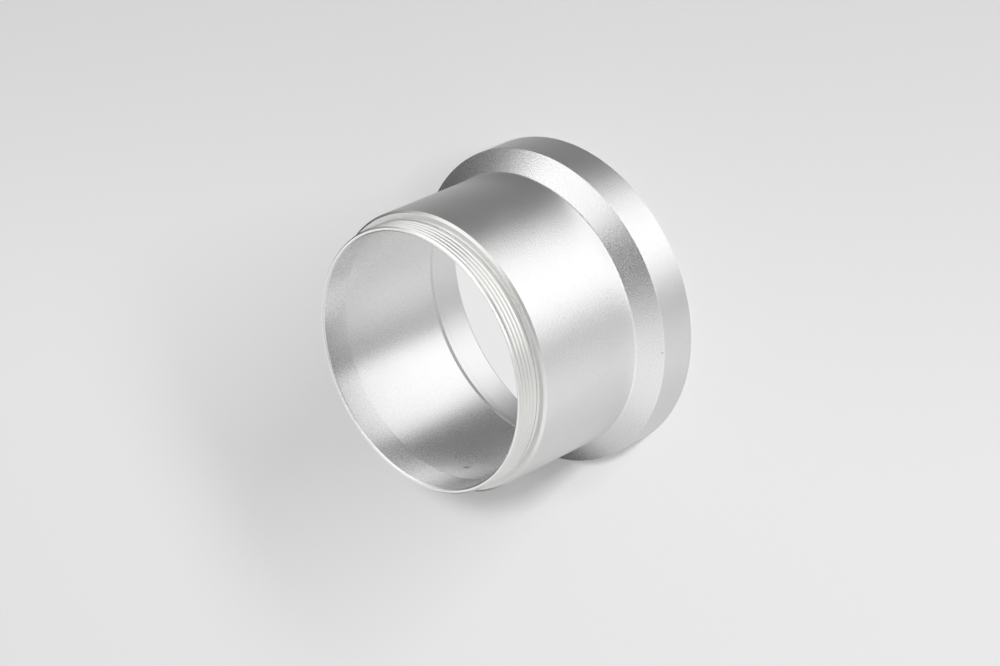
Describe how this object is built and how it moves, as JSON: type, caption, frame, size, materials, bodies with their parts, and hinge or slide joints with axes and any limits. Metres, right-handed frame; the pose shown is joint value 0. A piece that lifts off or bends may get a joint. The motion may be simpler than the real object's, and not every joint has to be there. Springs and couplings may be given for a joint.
{
  "type": "lens mount adapter",
  "caption": "Turned aluminium lens mount adapter tube with an external thread at its mouth and a plain lens socket in its bevelled flange.",
  "frame": {"origin": "centre of the flange's end face, the face that the adapter stands on", "axes": "+Z along the optical axis, from the flange towards the threaded mouth"},
  "size_m": [0.0556, 0.0554, 0.036],
  "materials": {
    "adapter_tube": "blasted and clear anodised satin, with bright machined thread and mouth rim"
  },
  "bodies": {
    "root": {"adapter_tube": "adapter_tube"}
  },
  "joints": []
}
